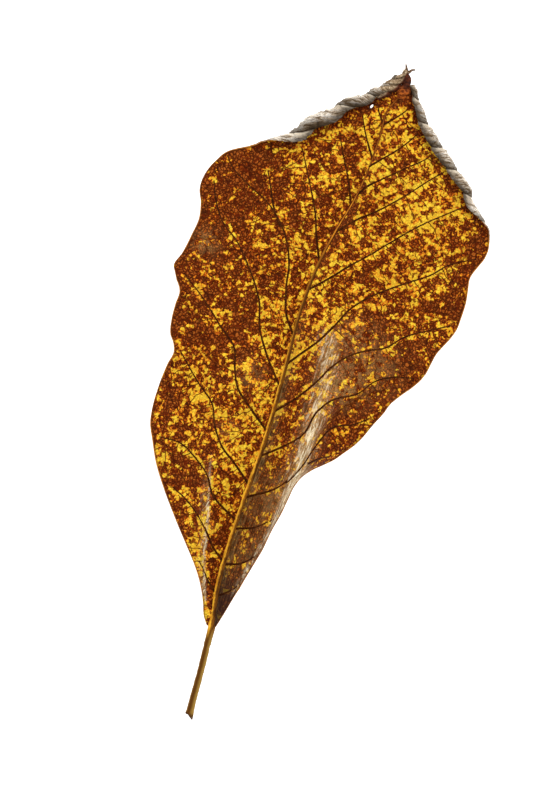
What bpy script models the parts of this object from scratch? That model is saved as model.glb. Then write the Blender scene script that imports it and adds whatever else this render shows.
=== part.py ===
"""A dried walnut leaf lying face up: blade, veins, midrib, stalk and rolled margins in one solid.

Lengths are in millimetres until the last step. The drawing's origin is where the blade meets the stalk,
+Y runs along the blade to its tip, +X is the right half of the blade, and Z is the height above the surface
that the leaf lies on.
"""
import math

import bmesh
import bpy
import numpy as np

MM = 0.001

# Driving dimensions
THICKNESS = 0.6            # of the blade
VEIN_SWELL = 0.14          # how far a side vein stands out of each face at the midrib
VEIN_FADE = 0.6            # share of that swell that is gone at the margin
QUILT = 0.3                # how far the blade puffs up between two side veins
CRUMPLE = 0.35             # height of the slow waves that drying left in the blade
EDGE_WIDTH = 0.9           # width of the strip along the margin that turns up a little
EDGE_AT_BASE = 0.3         # share of that width at the blade's base
BASE_TAPER = (10.0, 50.0)  # stretch of Y over which the strip grows to its full width
EDGE_TURN = 20.0           # degrees that the strip turns up
ROLL_TURN = 240.0          # degrees that the margin rolls up near the tip
ROLL_GROWTH = 11.0         # length along Y over which the roll grows to its full turn
STEEPEST = 0.5             # slopes steeper than this upward part of their normal aren't made wider to keep thickness

# Rolled margins: the y where each begins, and its radius at the y of each station
ROLL_STATIONS = (100.0, 112.0, 120.0, 126.0, 130.0)
LEFT_ROLL = (100.5, (0.9, 1.4, 1.25, 0.8, 0.6))
RIGHT_ROLL = (99.0, (0.65, 1.05, 1.15, 0.85, 0.55))

# From the drawing's origin to the middle of the leaf's box, which is the part's own origin
BOX_MIDDLE = (-2.8, 55.6)

# Midrib, from the blade's base to its tip: x, y, z
MIDRIB = [
    (0.0, 0.0, 3.2), (-1.7, 8.7, 3.0), (-2.5, 20.1, 2.8), (-2.7, 30.6, 2.7), (-2.7, 41.1, 2.6), (-4.0, 59.8, 2.7),
    (-5.1, 74.6, 3.0), (-4.8, 83.5, 3.4), (-3.7, 91.6, 3.9), (-2.1, 99.7, 4.5), (-1.4, 106.9, 5.2), (-1.5, 115.1, 5.9),
    (-1.8, 120.3, 6.3), (-0.3, 124.8, 6.7), (-0.1, 129.0, 7.1),
]

# Stalk, from its cut end to the blade's base: x, y, z
STALK = [(1.8, -19.6, 0.95), (1.4, -15.8, 1.2), (1.1, -11.7, 1.7), (0.7, -7.2, 2.3), (0.3, -3.4, 2.8)]

# Radius of stalk and midrib at the y of each station, and how far the stalk's cut end slants along it for each
# millimetre across
RIB_STATIONS = (-20.0, -17.5, -12.0, -2.0, 0.0, 20.0, 60.0, 100.0, 129.0)
RIB_RADII = (0.95, 0.85, 0.8, 0.8, 0.85, 0.78, 0.62, 0.48, 0.4)
CUT_SLANT = -0.9

# Outline of each half as seen from above, from base to tip: x, y, z
LEFT_MARGIN = [
    (-1.2, 0.4, 3.1), (-2.6, 2.4, 3.6), (-3.7, 5.0, 4.0), (-6.8, 10.4, 4.0), (-12.1, 16.4, 3.0), (-16.1, 20.8, 1.8),
    (-20.0, 25.4, 1.3), (-23.9, 30.6, 0.9), (-26.3, 35.0, 0.6), (-27.9, 38.1, 0.4), (-28.7, 41.7, 0.2),
    (-29.0, 46.2, 0.2), (-28.8, 51.9, 0.6), (-28.4, 55.3, 2.0), (-30.3, 58.1, 1.4), (-31.2, 61.4, 0.8),
    (-31.6, 65.0, 1.0), (-31.7, 68.1, 2.1), (-33.3, 70.4, 2.2), (-34.7, 72.5, 1.4), (-33.9, 76.2, 0.9),
    (-33.3, 80.7, 1.3), (-33.0, 84.5, 0.9), (-33.8, 87.8, 0.4), (-35.0, 90.4, 0.2), (-35.1, 94.2, 0.2),
    (-33.8, 97.8, 0.5), (-31.3, 101.2, 1.2), (-27.7, 103.2, 2.2), (-24.3, 105.4, 3.2), (-22.0, 107.1, 3.9),
    (-19.2, 110.2, 4.6), (-16.8, 113.5, 5.1), (-13.6, 116.1, 5.5), (-11.2, 119.3, 5.9), (-8.0, 121.7, 6.2),
    (-5.0, 124.7, 6.5), (-3.0, 127.1, 6.8), (-2.2, 129.9, 7.1),
]
RIGHT_MARGIN = [
    (0.9, 0.8, 3.3), (1.4, 3.0, 4.1), (2.9, 10.8, 5.9), (4.0, 16.0, 7.0), (4.9, 20.4, 7.5), (5.5, 25.0, 7.4),
    (6.2, 29.0, 6.7), (6.7, 33.0, 5.3), (7.2, 36.0, 4.0), (8.2, 38.3, 2.8), (9.7, 40.2, 1.8), (11.4, 41.9, 1.5),
    (13.1, 43.8, 1.3), (14.7, 46.2, 1.1), (16.2, 48.5, 0.9), (17.3, 50.8, 0.8), (18.2, 53.2, 0.7), (19.1, 55.6, 1.2),
    (19.9, 57.7, 1.4), (20.6, 60.1, 1.2), (21.7, 61.9, 0.9), (22.7, 63.4, 0.7), (24.0, 65.1, 0.6), (25.1, 67.1, 0.8),
    (25.8, 69.2, 1.0), (26.1, 71.7, 1.4), (26.4, 73.7, 1.5), (27.3, 75.9, 0.9), (28.2, 78.0, 0.4), (28.9, 80.4, 0.2),
    (29.0, 83.2, 0.2), (28.8, 87.2, 0.8), (28.3, 89.5, 1.5), (27.8, 92.1, 1.8), (28.6, 94.9, 1.3), (29.4, 97.2, 1.1),
    (29.5, 99.6, 1.5), (28.7, 101.8, 2.3), (27.1, 104.2, 3.1), (24.6, 106.2, 3.8), (22.9, 107.4, 4.2),
    (20.6, 110.7, 4.7), (17.2, 113.1, 5.1), (14.0, 115.6, 5.4), (10.5, 118.0, 5.8), (7.5, 120.4, 6.1),
    (4.3, 124.0, 6.5), (2.2, 126.9, 6.8), (1.0, 129.1, 7.1),
]

# Side veins of each half, from base to tip: number, y of the root on the midrib, then the point where the vein
# crosses the fold beside the midrib, then a point on the way out, then y of its end on the margin. The first and the
# last line of each half are the ends of the blade, and lines without a whole number lie between two veins.
LEFT_VEINS = [
    (0, 0.7, (-0.45, 0.7, 3.2), (-0.7, 0.6, 3.2), 0.5),
    (1, 7.5, (-3.6, 8.9, 4.3), (-5.3, 10.3, 4.2), 11.4),
    (2, 14.8, (-8.1, 19.6, 5.8), (-13.2, 23.8, 3.4), 27.0),
    (3, 24.4, (-10.9, 29.6, 6.4), (-17.5, 35.2, 3.2), 36.2),
    (4, 32.8, (-13.2, 41.0, 6.5), (-20.0, 49.7, 2.9), 55.6),
    (5, 45.2, (-13.4, 53.8, 6.1), (-22.0, 65.0, 3.2), 72.0),
    (6, 55.3, (-12.2, 66.0, 5.4), (-22.5, 81.8, 3.7), 93.5),
    (7, 66.9, (-10.0, 77.6, 5.0), (-18.5, 91.9, 4.2), 100.3),
    (8, 84.2, (-8.6, 92.4, 5.2), (-13.6, 101.6, 5.0), 110.0),
    (9, 98.1, (-4.6, 102.9, 5.6), (-8.4, 109.6, 5.8), 116.5),
    (10, 109.6, (-3.4, 112.2, 6.1), (-5.6, 115.9, 6.2), 121.5),
    (11, 117.3, (-3.1, 119.2, 6.5), (-4.0, 120.8, 6.6), 125.0),
    (12, 124.4, (-1.0, 125.5, 6.8), (-1.7, 126.7, 6.8), 128.4),
]
RIGHT_VEINS = [
    (0, 0.7, (0.15, 0.8, 3.25), (0.4, 0.9, 3.3), 0.9),
    (1, 7.2, (1.0, 9.1, 5.2), (2.1, 10.0, 5.8), 10.8),
    (2, 14.5, (1.8, 17.8, 7.4), (3.5, 19.3, 8.2), 20.4),
    (3, 22.7, (2.6, 26.6, 8.9), (4.5, 28.6, 9.6), 30.5),
    (3.35, 25.1, (3.0, 32.2, 9.6), (5.1, 35.9, 9.2), 38.3),
    (3.7, 27.6, (4.3, 36.3, 9.8), (7.3, 42.6, 6.9), 45.6),
    (4, 29.9, (5.3, 41.9, 9.6), (9.6, 51.0, 3.9), 56.5),
    (5, 39.5, (6.2, 52.6, 8.4), (14.4, 61.6, 3.0), 67.4),
    (6, 49.5, (6.2, 64.4, 6.6), (16.4, 72.6, 3.4), 81.5),
    (7, 60.5, (5.4, 77.0, 5.4), (15.5, 86.8, 4.2), 97.2),
    (8, 77.6, (3.6, 87.6, 5.0), (13.5, 99.2, 5.0), 107.4),
    (9, 91.4, (2.6, 98.2, 5.3), (9.4, 105.8, 5.6), 114.8),
    (10, 100.4, (1.6, 105.3, 5.7), (6.9, 110.6, 6.0), 117.4),
    (11, 107.6, (1.2, 110.7, 6.1), (4.0, 114.3, 6.3), 121.4),
    (12, 117.3, (0.0, 119.1, 6.5), (1.6, 121.0, 6.7), 125.0),
    (13, 124.4, (0.3, 125.4, 6.8), (0.7, 126.4, 6.8), 127.8),
]

# Where a vein's four points lie along it, from 0 at the midrib to 1 at the margin
ALONG = (0.0, 0.36, 0.68, 1.0)

# Mesh grid: rows between one vein and the next, columns from midrib to margin, columns in the rolled strip, and
# rings of the stalk, rings of the midrib and sides of each ring
ROW_STEPS = (0.0, 0.14, 0.5, 0.86)
COLUMNS = 12
ROLL_COLUMNS = 5
STALK_RINGS = 9
MIDRIB_RINGS = 44
RIB_SIDES = 8
TIP_SIDES = 7
HORN_SIDES = 5

# Shrivelled point at the tip with its two thin horns: paths of x, y, z, and radii at each point
TIP_POINT = [(-0.6, 124.8, 6.8), (-0.6, 126.6, 7.0), (-0.8, 128.2, 7.3), (-0.7, 129.3, 7.6), (-0.6, 130.2, 7.9)]
TIP_RADII = [1.0, 1.7, 1.4, 0.8, 0.45]
LEFT_HORN = [(-0.4, 129.6, 7.9), (-1.0, 130.5, 8.3), (-1.4, 131.2, 8.9)]
RIGHT_HORN = [(-0.2, 129.8, 8.0), (0.4, 130.6, 8.5), (1.0, 130.8, 8.6)]
HORN_RADII = [0.34, 0.3, 0.22]


def smooth(knots, values, at):
    """Values at the places in at, on a smooth curve through every knot."""
    knots = np.asarray(knots, float)
    values = np.asarray(values, float)
    at = np.clip(np.asarray(at, float), knots[0], knots[-1])
    slopes = np.gradient(values, knots, axis=0)
    left = np.clip(np.searchsorted(knots, at, side="right") - 1, 0, len(knots) - 2)
    span = knots[left + 1] - knots[left]
    u = (at - knots[left]) / span
    if values.ndim > 1:
        span = span[..., None]
        u = u[..., None]
    return ((1 + 2 * u) * (1 - u) ** 2 * values[left] + u * (1 - u) ** 2 * span * slopes[left]
            + u ** 2 * (3 - 2 * u) * values[left + 1] - u ** 2 * (1 - u) * span * slopes[left + 1])


def ease(low, high, value):
    """0 below low, 1 above high, and smooth between them."""
    u = np.clip((value - low) / (high - low), 0.0, 1.0)
    return u * u * (3 - 2 * u)


def along_y(line, y):
    """Points on a drawn line at the given y."""
    line = np.asarray(line, float)
    return smooth(line[:, 1], line, y)


def unit(vectors):
    return vectors / np.maximum(np.linalg.norm(vectors, axis=-1, keepdims=True), 1e-9)


def roll_of(side, y):
    """Turn, in radians, and radius of the margin's strip where the margin is at y, and how far it is rolled."""
    start, radii = LEFT_ROLL if side < 0 else RIGHT_ROLL
    rolled = ease(start, start + ROLL_GROWTH, y)
    turn = np.radians(EDGE_TURN + (ROLL_TURN - EDGE_TURN) * rolled)
    full_radius = smooth(ROLL_STATIONS, radii, y)
    flat_width = EDGE_WIDTH * (EDGE_AT_BASE + (1 - EDGE_AT_BASE) * ease(*BASE_TAPER, y))
    width = flat_width * (1 - rolled) + full_radius * math.radians(ROLL_TURN) * rolled
    return turn, width / turn, rolled


def rows_of(veins):
    """Row numbers of the grid, where whole numbers are the side veins."""
    order = [vein[0] for vein in veins]
    rows = [low + (high - low) * step for low, high in zip(order, order[1:]) for step in ROW_STEPS]
    return np.array(rows + [order[-1]], float)


def half_surface(side, veins, margin):
    """Middle surface of one half as a grid of points, and how much of a vein and of the roll each point is."""
    rows = rows_of(veins)
    order, roots, folds, outers, ends = zip(*veins)
    root_y = smooth(order, roots, rows)
    fold = smooth(order, folds, rows)
    outer = smooth(order, outers, rows)
    end_y = smooth(order, ends, rows)
    root = along_y(MIDRIB, root_y)
    end = along_y(margin, end_y)

    # The strip's own reach comes off the outline, square to it, so the rolled margin still fills the outline
    turn, radius, rolled = roll_of(side, end_y)
    outward = np.gradient(end, axis=0) * (1.0, 1.0, 0.0)
    outward = unit(np.stack([outward[:, 1], -outward[:, 0], np.zeros(len(rows))], axis=1)) * side
    end = end - outward * (radius * np.sin(np.minimum(turn, math.pi / 2)))[:, None]

    along = np.linspace(0.0, 1.0, COLUMNS + 1)
    corners = np.stack([root, fold, outer, end], axis=0)
    sheet = np.stack([smooth(ALONG, corners[:, row], along) for row in range(len(rows))], axis=0)

    # Puffed up between the veins, with slow waves, both fading out at the midrib and the margin
    inside = (np.sin(math.pi * along) ** 0.7)[None, :]
    puff = QUILT * np.sin(math.pi * (rows % 1.0))[:, None] * inside
    x, y = sheet[..., 0], sheet[..., 1]
    waves = CRUMPLE * np.sin(0.31 * x + 0.12 * y + 0.6) * np.sin(0.19 * y - 0.09 * x + 1.1) * inside
    sheet[..., 2] += puff + waves

    # The margin's strip, rolled about an axis along the margin
    run = unit(np.gradient(sheet[:, -1], axis=0))
    across = sheet[:, -1] - sheet[:, -2]
    out = unit(across - run * np.sum(across * run, axis=1, keepdims=True))
    up = unit(np.cross(out, run)) * side
    strip = []
    for column in range(1, ROLL_COLUMNS + 1):
        angle = turn * column / ROLL_COLUMNS
        sideways = out * (radius * np.sin(angle))[:, None]
        strip.append(sheet[:, -1] + sideways + up * (radius * (1 - np.cos(angle)))[:, None])
    sheet = np.concatenate([sheet, np.stack(strip, axis=1)], axis=1)

    on_vein = (rows % 1.0 == 0.0).astype(float)
    on_vein[[0, -1]] = 0.0
    fade = np.concatenate([1 - VEIN_FADE * along, np.zeros(ROLL_COLUMNS)])
    near_margin = ease(COLUMNS - 3, COLUMNS, np.arange(COLUMNS + ROLL_COLUMNS + 1))
    in_roll = ease(0.0, 0.05, rolled)
    return sheet, on_vein[:, None] * fade[None, :], in_roll[:, None] * near_margin[None, :]


def slab(sheet, on_vein, in_roll, side, name):
    """A closed solid of the blade's thickness about a middle surface, cut into like triangles on both faces.

    The thickness is laid out straight up and down, wider on a slope, and square to the surface only in the rolls.
    """
    along_rows = np.gradient(sheet, axis=0)
    along_columns = np.gradient(sheet, axis=1)
    normal = unit(np.cross(along_columns, along_rows)) * side
    upright = np.array((0.0, 0.0, 1.0)) / np.maximum(normal[..., 2:], STEEPEST)
    half = (THICKNESS / 2 + VEIN_SWELL * on_vein)[..., None]
    thick = half * (upright + (normal - upright) * in_roll[..., None])
    top = sheet + thick
    bottom = sheet - thick
    bottom[..., 2] = np.maximum(bottom[..., 2], 0.0)
    bm = bmesh.new()
    rows, columns = sheet.shape[:2]
    upper = [[bm.verts.new(top[i, j]) for j in range(columns)] for i in range(rows)]
    lower = [[bm.verts.new(bottom[i, j]) for j in range(columns)] for i in range(rows)]
    for i in range(rows - 1):
        for j in range(columns - 1):
            for face, flip in ((upper, 1), (lower, -1)):
                a, b, c, d = face[i][j], face[i][j + 1], face[i + 1][j + 1], face[i + 1][j]
                for corners in ((a, b, c), (a, c, d)):
                    bm.faces.new(corners[::flip * int(side)])
    rim = [(i, 0) for i in range(rows)] + [(rows - 1, j) for j in range(1, columns)]
    rim += [(i, columns - 1) for i in range(rows - 2, -1, -1)] + [(0, j) for j in range(columns - 2, 0, -1)]
    for (i, j), (k, m) in zip(rim, rim[1:] + rim[:1]):
        bm.faces.new((upper[i][j], lower[i][j], lower[k][m], upper[k][m])[::int(side)])
    return solid_object(bm, name)


def tube(path, radii, sides, name, cut=0.0):
    """A round closed rod along a path. cut slants the first end."""
    path = np.asarray(path, float)
    heading = unit(np.gradient(path, axis=0))
    across = unit(np.cross(heading, (0.0, 0.0, 1.0)))
    over = np.cross(across, heading)
    bm = bmesh.new()
    rings = []
    for index, centre in enumerate(path):
        ring = []
        for step in range(sides):
            angle = math.tau * (step + 0.5) / sides
            sideways = math.cos(angle) * radii[index]
            point = centre + across[index] * sideways + over[index] * (math.sin(angle) * radii[index])
            if index == 0:
                point = point + heading[0] * (cut * sideways)
            point[2] = max(point[2], 0.0)
            ring.append(bm.verts.new(point))
        rings.append(ring)
    for ring, following in zip(rings, rings[1:]):
        for step in range(sides):
            after = (step + 1) % sides
            bm.faces.new((ring[step], ring[after], following[after], following[step]))
    bm.faces.new(rings[0][::-1])
    bm.faces.new(rings[-1])
    return solid_object(bm, name)


def solid_object(bm, name):
    """Moves a mesh to the part's own origin, in metres, and puts it in the scene."""
    for vert in bm.verts:
        vert.co.x = (vert.co.x - BOX_MIDDLE[0]) * MM
        vert.co.y = (vert.co.y - BOX_MIDDLE[1]) * MM
        vert.co.z = vert.co.z * MM
    bmesh.ops.triangulate(bm, faces=[face for face in bm.faces if len(face.verts) > 3])
    bmesh.ops.recalc_face_normals(bm, faces=bm.faces)
    mesh = bpy.data.meshes.new(name)
    bm.to_mesh(mesh)
    bm.free()
    piece = bpy.data.objects.new(name, mesh)
    bpy.context.scene.collection.objects.link(piece)
    return piece


def midrib_and_stalk():
    """The stalk and the midrib that carries it on through the blade, as one tapering rod."""
    line = np.array(STALK + MIDRIB)
    stalk_y = np.linspace(STALK[0][1], -1.5, STALK_RINGS)
    y = np.concatenate([stalk_y, np.linspace(0.0, MIDRIB[-1][1], MIDRIB_RINGS)])
    path = smooth(line[:, 1], line, y)
    return tube(path, smooth(RIB_STATIONS, RIB_RADII, y), RIB_SIDES, "rib", cut=CUT_SLANT)


def shrivelled_tip():
    pieces = [tube(TIP_POINT, TIP_RADII, TIP_SIDES, "tip_point")]
    for index, path in enumerate((LEFT_HORN, RIGHT_HORN)):
        pieces.append(tube(path, HORN_RADII, HORN_SIDES, f"horn_{index}"))
    return pieces


def dried_leaf_material():
    material = bpy.data.materials.new("dried_leaf")
    material.use_nodes = True
    shader = material.node_tree.nodes["Principled BSDF"]
    shader.inputs["Base Color"].default_value = (0.36, 0.16, 0.035, 1.0)
    shader.inputs["Roughness"].default_value = 0.6
    shader.inputs["Metallic"].default_value = 0.0
    return material


def fuse(name, pieces):
    """Joins the pieces in one solid under a new name."""
    tools = bpy.data.collections.new("tools")
    bpy.context.scene.collection.children.link(tools)
    body, others = pieces[0], pieces[1:]
    for piece in others:
        tools.objects.link(piece)
        bpy.context.scene.collection.objects.unlink(piece)
    union = body.modifiers.new("union", "BOOLEAN")
    union.operation = "UNION"
    union.operand_type = "COLLECTION"
    union.collection = tools
    union.solver = "EXACT"
    bpy.context.view_layer.update()
    fused = bpy.data.meshes.new_from_object(body.evaluated_get(bpy.context.evaluated_depsgraph_get()))
    for piece in list(tools.objects):
        bpy.data.objects.remove(piece)
    bpy.data.collections.remove(tools)
    body.modifiers.clear()
    body.data = fused
    body.name = name
    fused.name = name
    return body


def build_leaf():
    halves = []
    for side, veins, margin in ((-1.0, LEFT_VEINS, LEFT_MARGIN), (1.0, RIGHT_VEINS, RIGHT_MARGIN)):
        sheet, on_vein, in_roll = half_surface(side, veins, margin)
        halves.append(slab(sheet, on_vein, in_roll, side, f"half_{'left' if side < 0 else 'right'}"))
    leaf = fuse("leaf", [midrib_and_stalk(), *halves, *shrivelled_tip()])
    leaf.data.shade_smooth()
    leaf.data.set_sharp_from_angle(angle=math.radians(50.0))
    leaf.data.materials.clear()
    leaf.data.materials.append(dried_leaf_material())


for old in list(bpy.data.objects):
    bpy.data.objects.remove(old)
build_leaf()
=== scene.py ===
"""Looks of the dried walnut leaf: finer meshes of blade, midrib, veins and tip, surfaces, light and camera.

Lengths are in millimetres until a mesh is made. The drawing's origin is where the blade meets the stalk,
+Y runs along the blade to its tip, +X is the right half of the blade, and Z is the height above the surface
that the leaf lies on.
"""

import math

import bpy
import numpy as np
from mathutils import Matrix, Vector
from mathutils.bvhtree import BVHTree


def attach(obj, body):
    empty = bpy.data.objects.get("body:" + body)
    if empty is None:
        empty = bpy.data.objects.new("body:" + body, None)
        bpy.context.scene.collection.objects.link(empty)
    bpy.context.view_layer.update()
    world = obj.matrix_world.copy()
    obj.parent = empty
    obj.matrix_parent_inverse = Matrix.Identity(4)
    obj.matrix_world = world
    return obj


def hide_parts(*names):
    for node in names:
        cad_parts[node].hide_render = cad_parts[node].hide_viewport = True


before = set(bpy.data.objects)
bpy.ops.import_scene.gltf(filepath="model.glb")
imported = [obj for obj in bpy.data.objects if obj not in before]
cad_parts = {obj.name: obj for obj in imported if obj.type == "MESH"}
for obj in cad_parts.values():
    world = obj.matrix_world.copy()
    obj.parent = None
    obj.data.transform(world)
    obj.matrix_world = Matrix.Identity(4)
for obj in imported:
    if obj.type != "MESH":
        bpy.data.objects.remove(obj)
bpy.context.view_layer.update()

MM = 0.001

# Blade
LAMINA = 0.3  # thickness
QUILT = 0.3  # how far it puffs up between two side veins
CRUMPLE = 0.35  # height of the slow waves that drying left
STEEPEST = 0.5  # upward part of the normal, below which a slope widens no more
EDGE_WIDTH = 0.9  # width of the strip along the margin that turns up a little
EDGE_AT_BASE = 0.3  # share of that width at the blade's base
BASE_TAPER = (10, 50)  # stretch of Y over which the strip grows to its full width
EDGE_TURN = 20  # degrees that the strip turns up
CELL = 0.7  # size of the smallest meshes of the vein net

# Fine relief of the blade, as height, wavelength and seed of each ripple, and of the folds' crests
BLADE_RIPPLES = ((0.05, 2.6, 11), (0.025, 1.2, 12))
CREST_RIPPLE = (0.09, 0.95, 13)
CREST_WIDTH = 2.2

# Rolled margins near the tip
ROLL_TURN = 240  # degrees that they roll up
ROLL_GROWTH = 11  # length along Y over which a roll grows to its full turn
ROLL_STATIONS = (100, 112, 120, 126, 130)
LEFT_ROLL = (100.5, (0.95, 1.6, 1.35, 0.8, 0.42))  # y where it begins, and its radius at each station
RIGHT_ROLL = (99, (0.65, 1.05, 1.1, 0.65, 0.25))

# Twists of the rolled margins: y of the margin where each begins and the last ends, how many twists a seam
# runs towards the tip on its way in, and how far a roll swells between seams, as shares of its radius
LEFT_SEAMS = (103.5, 114.5, 121.4, 123.8, 125.8, 127.6)
RIGHT_SEAMS = (102.5, 107.2, 112.1, 116, 119, 123.5, 127.6)
LEFT_SLANT = 0.9
RIGHT_SLANT = 0.6
LOBE_SWELL = 0.5
LOBE_PINCH = 0.34
LOBE_DRIFT = 0.12

# Creases of the rolls: share of the radius, slant, pitch across, wavelength, seed
ROLL_CREASES = ((0.1, 1.6, 2, 1.1, 6), (0.07, 0.8, 1.2, 0.55, 7))

# Mesh grid
ROW_LENGTH = 0.66  # along the margin
ROLL_ROW_LENGTH = 0.34  # along the rolled margin
COLUMNS = 56  # from midrib to margin
ROLL_COLUMNS = 16  # across the margin's strip

# From the drawing's origin to the middle of the leaf's box, which is the part's own origin
BOX_MIDDLE = (-2.8, 55.6)

# The picture: size in pixels, scale, the drawing's origin, and the angle that the leaf leans to the right
PICTURE = (533, 800)
MM_PER_PIXEL = 0.22
ORIGIN_PIXEL = (211, 630)
LEAN = math.atan2(196, 550)
SCALE_HEIGHT = 4  # height above the floor that the scale holds for
LENS = 200
SENSOR = 36

MIDRIB = [
    (0, 0, 3.2), (-1.7, 8.7, 3), (-2.5, 20.1, 2.8), (-2.7, 30.6, 2.7), (-2.7, 41.1, 2.6), (-4, 59.8, 2.7),
    (-5.1, 74.6, 3), (-4.8, 83.5, 3.4), (-3.7, 91.6, 3.9), (-2.1, 99.7, 4.5), (-1.4, 106.9, 5.2),
    (-1.5, 115.1, 5.9), (-1.8, 120.3, 6.3), (-0.3, 124.8, 6.7), (-0.1, 129, 7.1),
]
STALK = [(1.8, -19.6, 0.95), (1.4, -15.8, 1.2), (1.1, -11.7, 1.7), (0.7, -7.2, 2.3), (0.3, -3.4, 2.8)]
RIB_STATIONS = (-20, -17.5, -12, -2, 0, 20, 60, 85, 100, 129)
RIB_RADII = (0.95, 0.85, 0.8, 0.8, 0.85, 0.78, 0.58, 0.44, 0.34, 0.28)
RIB_RIPPLES = ((0.03, 2.3, 21), (0.015, 0.8, 22))  # share of the radius, wavelength, seed
STALK_RINGS = 60
MIDRIB_RINGS = 320
RIB_SIDES = 20
CUT_SLANT = -0.9  # how far the stalk's cut end slants along it for each millimetre across

LEFT_MARGIN = [
    (-1.2, 0.4, 3.1), (-2.6, 2.4, 3.6), (-3.7, 5, 4), (-6.8, 10.4, 4), (-12.1, 16.4, 3),
    (-16.1, 20.8, 1.8), (-20, 25.4, 1.3), (-23.9, 30.6, 0.9), (-26.3, 35, 0.6), (-27.9, 38.1, 0.4),
    (-28.7, 41.7, 0.2), (-29, 46.2, 0.2), (-28.8, 51.9, 0.6), (-28.4, 55.3, 2), (-30.3, 58.1, 1.4),
    (-31.2, 61.4, 0.8), (-31.6, 65, 1), (-31.7, 68.1, 2.1), (-33.3, 70.4, 2.2), (-34.7, 72.5, 1.4),
    (-33.9, 76.2, 0.9), (-33.3, 80.7, 1.3), (-33, 84.5, 0.9), (-33.8, 87.8, 0.4), (-35, 90.4, 0.2),
    (-35.1, 94.2, 0.2), (-33.8, 97.8, 0.5), (-31.3, 101.2, 1.2), (-27.7, 103.2, 2.2), (-24.3, 105.4, 3.2),
    (-22, 107.1, 3.9), (-19.2, 110.2, 4.6), (-16.8, 113.5, 5.1), (-13.6, 116.1, 5.5), (-11.2, 119.3, 5.9),
    (-8, 121.7, 6.2), (-5, 124.7, 6.5), (-2.6, 127.2, 6.8), (-1.7, 129.9, 7.1),
]
RIGHT_MARGIN = [
    (0.9, 0.8, 3.3), (1.4, 3, 4.1), (2.9, 10.8, 5.9), (4, 16, 7), (4.9, 20.4, 7.5), (5.5, 25, 7.4),
    (6.2, 29, 6.7), (6.7, 33, 5.3), (7.2, 36, 4), (8.2, 38.3, 2.8), (9.7, 40.2, 1.8), (11.4, 41.9, 1.5),
    (13.1, 43.8, 1.3), (14.7, 46.2, 1.1), (16.2, 48.5, 0.9), (17.3, 50.8, 0.8), (18.2, 53.2, 0.7),
    (19.1, 55.6, 1.2), (19.9, 57.7, 1.4), (20.6, 60.1, 1.2), (21.7, 61.9, 0.9), (22.7, 63.4, 0.7),
    (24, 65.1, 0.6), (25.1, 67.1, 0.8), (25.8, 69.2, 1), (26.1, 71.7, 1.4), (26.4, 73.7, 1.5),
    (27.3, 75.9, 0.9), (28.2, 78, 0.4), (28.9, 80.4, 0.2), (29, 83.2, 0.2), (28.8, 87.2, 0.8),
    (28.3, 89.5, 1.5), (27.8, 92.1, 1.8), (28.6, 94.9, 1.3), (29.4, 97.2, 1.1), (29.5, 99.6, 1.5),
    (28.7, 101.8, 2.3), (27.1, 104.2, 3.1), (24.6, 106.2, 3.8), (22.9, 107.4, 4.2), (20.6, 110.7, 4.7),
    (17.2, 113.1, 5.1), (14, 115.6, 5.4), (10.5, 118, 5.8), (7.5, 120.4, 6.1), (4.3, 124, 6.5),
    (2.2, 126.9, 6.8), (1, 129.1, 7.1),
]

# Lines across each half from base to tip: number, y of the root on the midrib, the point on the fold beside
# the midrib, a point on the way out, y of the end on the margin. ALONG is how far out each of these lies.
LEFT_LINES = [
    (0, 0.7, (-0.45, 0.7, 3.2), (-0.7, 0.6, 3.2), 0.5),
    (1, 7.5, (-3.6, 8.9, 4.3), (-5.3, 10.3, 4.2), 11.4),
    (2, 14.8, (-8.1, 19.6, 5.8), (-13.2, 23.8, 3.4), 27),
    (3, 24.4, (-10.9, 29.6, 6.4), (-17.5, 35.2, 3.2), 36.2),
    (4, 32.8, (-13.2, 41, 6.5), (-20, 49.7, 2.9), 55.6),
    (5, 45.2, (-13.4, 53.8, 6.1), (-22, 65, 3.2), 72),
    (6, 55.3, (-12.2, 66, 5.4), (-22.5, 81.8, 3.7), 93.5),
    (7, 66.9, (-10, 77.6, 5), (-18.5, 91.9, 4.2), 100.3),
    (8, 84.2, (-8.6, 92.4, 5.2), (-13.6, 101.6, 5), 110),
    (9, 98.1, (-4.6, 102.9, 5.6), (-8.4, 109.6, 5.8), 116.5),
    (10, 109.6, (-3.4, 112.2, 6.1), (-5.6, 115.9, 6.2), 121.5),
    (11, 117.3, (-3.1, 119.2, 6.5), (-4, 120.8, 6.6), 125),
    (12, 124.4, (-1, 125.5, 6.8), (-1.7, 126.7, 6.8), 128.4),
]
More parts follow.
